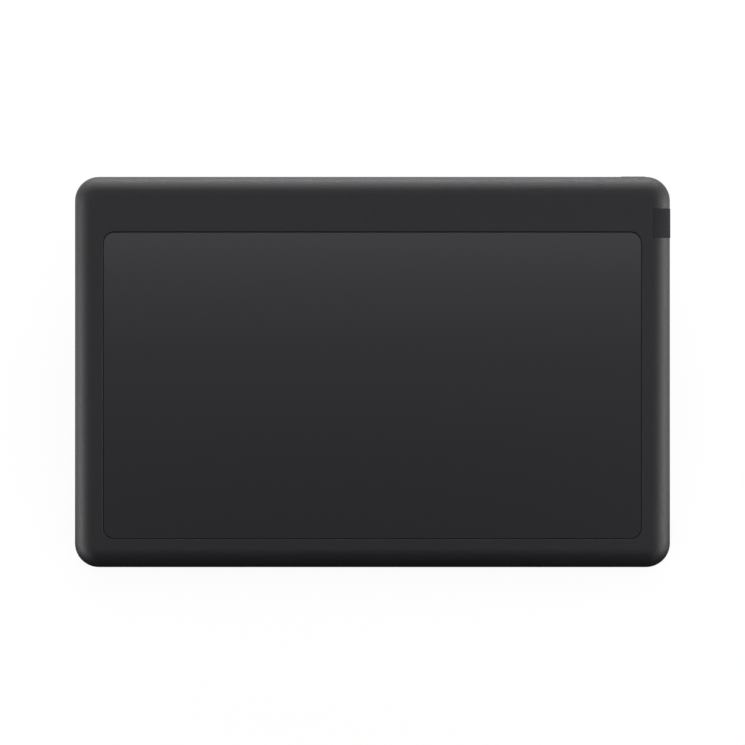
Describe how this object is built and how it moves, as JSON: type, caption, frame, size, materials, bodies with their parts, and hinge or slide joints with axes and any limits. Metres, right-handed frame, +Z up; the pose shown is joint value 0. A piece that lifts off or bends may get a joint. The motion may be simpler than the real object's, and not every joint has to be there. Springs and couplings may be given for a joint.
{
  "type": "pen display graphics tablet",
  "caption": "Flat black pen display with a glass drawing surface, on two fold-out legs, with a power button and a pen loop.",
  "frame": {"origin": "On the desk, under the middle of the standing display.", "axes": "+X to the right along the width, +Y away from the user, +Z up. The display rises towards +Y at 19 degrees, with its glass facing up and towards -Y."},
  "size_m": [0.4223, 0.2638, 0.1045],
  "materials": {
    "case_black": "fine matte texture",
    "cover_glass": "etched, semi-matte",
    "clear_adhesive": "clear",
    "display_cell": "glossy",
    "film_white": "satin",
    "clear_plastic": "clear",
    "tray_steel": "bright zinc",
    "shield_grey": "matte",
    "chassis_alloy": "cast, matte",
    "board_green": "solder mask",
    "chip_black": "matte",
    "socket_white": "satin",
    "cable_amber": "glossy film",
    "port_metal": "plated",
    "insert_brass": "machined",
    "lamp_white": "satin",
    "webbing_black": "woven",
    "screw_black": "black oxide",
    "bracket_steel": "plated",
    "pin_steel": "ground",
    "foot_rubber": "matte",
    "nib_white": "matte",
    "button_black": "fine matte texture"
  },
  "bodies": {
    "case": {"front_cover": "case_black", "rear_cover": "case_black", "cover_glass": "cover_glass", "glass_seal": "clear_adhesive", "optical_bond": "clear_adhesive", "lcd_panel": "display_cell", "diffuser_films": "film_white", "light_guide": "clear_plastic", "led_bar": "lamp_white", "reflector_sheet": "film_white", "backlight_tray": "tray_steel", "pen_sensor_board": "board_green", "sensor_shield": "shield_grey", "chassis": "chassis_alloy", "main_board": "board_green", "board_chips": "chip_black", "board_sockets": "socket_white", "display_cable": "cable_amber", "sensor_cable": "cable_amber", "cable_port_shell": "port_metal", "cable_port_tongue": "chip_black", "stand_inserts": "insert_brass", "power_switch": "chip_black", "switch_board": "board_green", "status_lamp": "lamp_white", "light_pipe": "clear_plastic", "pen_loop": "webbing_black", "pen_loop_anchor": "chip_black", "nib_holder": "chip_black", "spare_nibs": "nib_white", "nib_ring": "pin_steel", "case_screws": "screw_black", "chassis_screws": "screw_black", "bracket_screws": "screw_black", "board_screws": "screw_black", "left_leg_bracket": "bracket_steel", "right_leg_bracket": "bracket_steel", "left_leg_pin": "pin_steel", "right_leg_pin": "pin_steel", "left_leg_spring": "bracket_steel", "right_leg_spring": "bracket_steel", "front_left_foot": "foot_rubber", "front_right_foot": "foot_rubber"},
    "left_leg": {"left_leg": "case_black", "left_leg_foot": "foot_rubber"},
    "right_leg": {"right_leg": "case_black", "right_leg_foot": "foot_rubber"},
    "power_button": {"power_button": "button_black", "switch_plunger": "chip_black"}
  },
  "joints": [
    {"name": "left_leg_fold", "type": "hinge", "parent": "case", "child": "left_leg", "pos_m": [-0.14, 0.09119, 0.07735], "axis": [1, 0, 0], "range_deg": [-90, 0]},
    {"name": "right_leg_fold", "type": "hinge", "parent": "case", "child": "right_leg", "pos_m": [0.14, 0.09119, 0.07735], "axis": [1, 0, 0], "range_deg": [-90, 0]},
    {"name": "power_button_press", "type": "slide", "parent": "case", "child": "power_button", "axis": [0, -0.9455, -0.3256], "range_m": [0, 0.0005], "stiffness_N_per_m": 2500}
  ]
}
